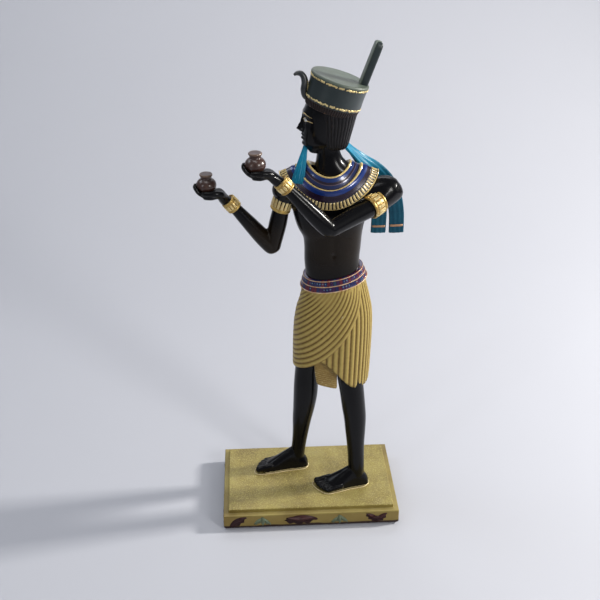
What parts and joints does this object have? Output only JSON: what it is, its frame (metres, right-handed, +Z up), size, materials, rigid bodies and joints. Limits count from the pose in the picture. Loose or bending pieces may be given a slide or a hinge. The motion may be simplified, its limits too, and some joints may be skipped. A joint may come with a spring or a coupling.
{
  "type": "egyptian statue",
  "caption": "Painted resin statue of a striding Egyptian offering bearer with a small jar on each palm, on a stepped gold plinth.",
  "frame": {"origin": "centre of the plinth's underside", "axes": "+Z up; the figure walks and looks towards -X with its chest turned to -Y"},
  "size_m": [0.1345, 0.0784, 0.3333],
  "materials": {
    "skin": "glossy black paint over cast resin",
    "gold": "antique gold paint over cast resin",
    "clay": "dark red-brown semi-gloss"
  },
  "bodies": {
    "root": {"plinth": "gold", "figure": "skin", "jar_left": "clay", "jar_right": "clay"}
  },
  "joints": []
}
